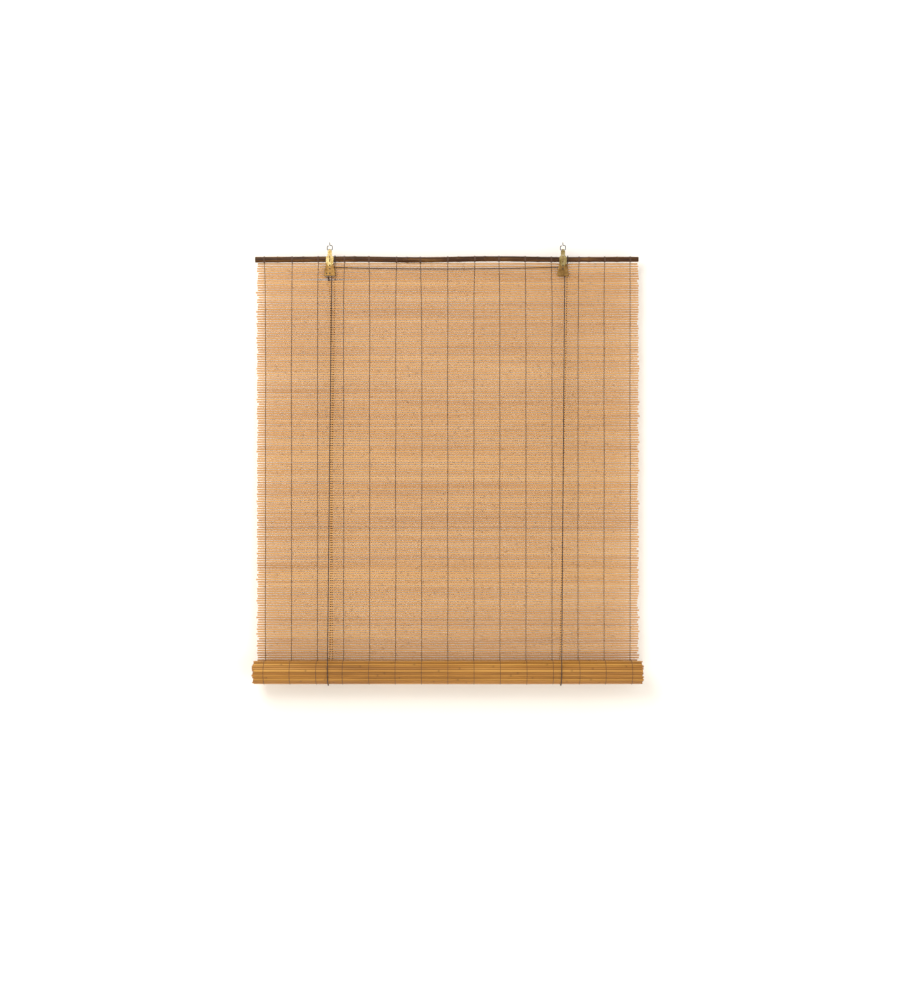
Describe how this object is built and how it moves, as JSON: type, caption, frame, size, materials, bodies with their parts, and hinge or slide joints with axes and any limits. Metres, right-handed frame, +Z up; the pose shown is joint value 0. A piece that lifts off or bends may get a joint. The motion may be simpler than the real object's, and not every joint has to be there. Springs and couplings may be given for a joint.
{
  "type": "bamboo roll up blind",
  "caption": "Roll-up window blind of split bamboo slats on a dark cane rod, hung by two brass pulleys, with the lower part rolled up and held by lift cords.",
  "frame": {"origin": "midway between the two screw shanks, at the height where they enter the lintel", "axes": "+X along the head rod, +Y to the window side, -Y faces the room, +Z up along the screw shanks"},
  "size_m": [1.0109, 0.0883, 1.1603],
  "materials": {
    "zinc_wire": "zinc plated, satin",
    "brass_strip": "plated, bright",
    "brass_case": "plated, satin",
    "brass_wheel": "turned, satin",
    "brass_wire": "soft drawn wire, satin",
    "steel_pin": "dull",
    "steel_cam": "toothed, dull",
    "dark_cane": "natural cane, dark, satin",
    "bamboo_slat": "split bamboo, satin",
    "rolled_bamboo": "split bamboo, satin",
    "plain_stick": "plain, matt",
    "warp_thread": "twisted cotton thread",
    "brown_cord": "twisted cord, two shades of brown"
  },
  "bodies": {
    "screw_eyes": {"screw_eye_left": "zinc_wire", "screw_eye_right": "zinc_wire"},
    "blind": {"hook_strap_left": "brass_strip", "hook_strap_right": "brass_strip", "pulley_case_left": "brass_case", "pulley_case_right": "brass_case", "hanger_rivet_left": "steel_pin", "hanger_rivet_right": "steel_pin", "axle_rivet_left": "steel_pin", "axle_rivet_right": "steel_pin", "cam_rivet": "steel_pin", "anvil_rivet": "steel_pin", "head_rod": "dark_cane", "rod_ties": "warp_thread", "rod_lashing_left": "brass_wire", "rod_lashing_right": "brass_wire", "hanging_slats": "bamboo_slat", "warp_threads": "warp_thread", "lift_cord_front_left": "brown_cord", "lift_cord_front_right": "brown_cord", "lift_cord_rear_left": "brown_cord", "lift_cord_rear_right": "brown_cord", "cord_wrap_left": "brown_cord", "cord_wrap_right": "brown_cord", "lift_cord_head_left": "brown_cord", "cross_cord": "brown_cord", "pull_strand_left": "brown_cord", "pull_strand_right": "brown_cord", "pull_coil": "brown_cord", "coil_tie": "brown_cord"},
    "left_wheel": {"sheave_left": "brass_wheel"},
    "right_wheel": {"sheave_right": "brass_wheel"},
    "lock_roller": {"lock_cam": "steel_cam"},
    "lifting_cords": {"lift_cord_bight_left": "brown_cord", "lift_cord_bight_right": "brown_cord"},
    "roll": {"rolled_mat": "rolled_bamboo", "bottom_rod": "plain_stick", "roll_threads": "warp_thread"}
  },
  "joints": [
    {"name": "blind_swing", "type": "hinge", "parent": "screw_eyes", "child": "blind", "pos_m": [0, 0, -0.0129], "axis": [1, 0, 0], "range_deg": [-30, 10]},
    {"name": "roll_lift", "type": "slide", "parent": "blind", "child": "lifting_cords", "axis": [0, 0, 1], "range_m": [0, 0.9], "deforming": ["hanging_slats", "warp_threads", "lift_cord_front_left", "lift_cord_front_right", "lift_cord_rear_left", "lift_cord_rear_right"]},
    {"name": "roll_turn", "type": "hinge", "parent": "lifting_cords", "child": "roll", "pos_m": [0, -0.0204, -1.11708], "axis": [-1, 0, 0], "range_deg": [0, 1622.6]},
    {"name": "left_wheel_turn", "type": "hinge", "parent": "blind", "child": "left_wheel", "pos_m": [-0.3054, 0.004, -0.0624], "axis": [0, -1, 0], "continuous": true},
    {"name": "right_wheel_turn", "type": "hinge", "parent": "blind", "child": "right_wheel", "pos_m": [0.3054, 0.002, -0.0624], "axis": [0, -1, 0], "continuous": true},
    {"name": "lock_roller_turn", "type": "hinge", "parent": "blind", "child": "lock_roller", "pos_m": [-0.3054, 0.004, -0.0742], "axis": [0, 1, 0], "range_deg": [0, 50]}
  ],
  "couplings": [
    {"joint": "roll_turn", "follows": "roll_lift", "rad_per_m": 31.447},
    {"joint": "left_wheel_turn", "follows": "roll_lift", "rad_per_m": 416.67},
    {"joint": "right_wheel_turn", "follows": "roll_lift", "rad_per_m": 416.67}
  ]
}
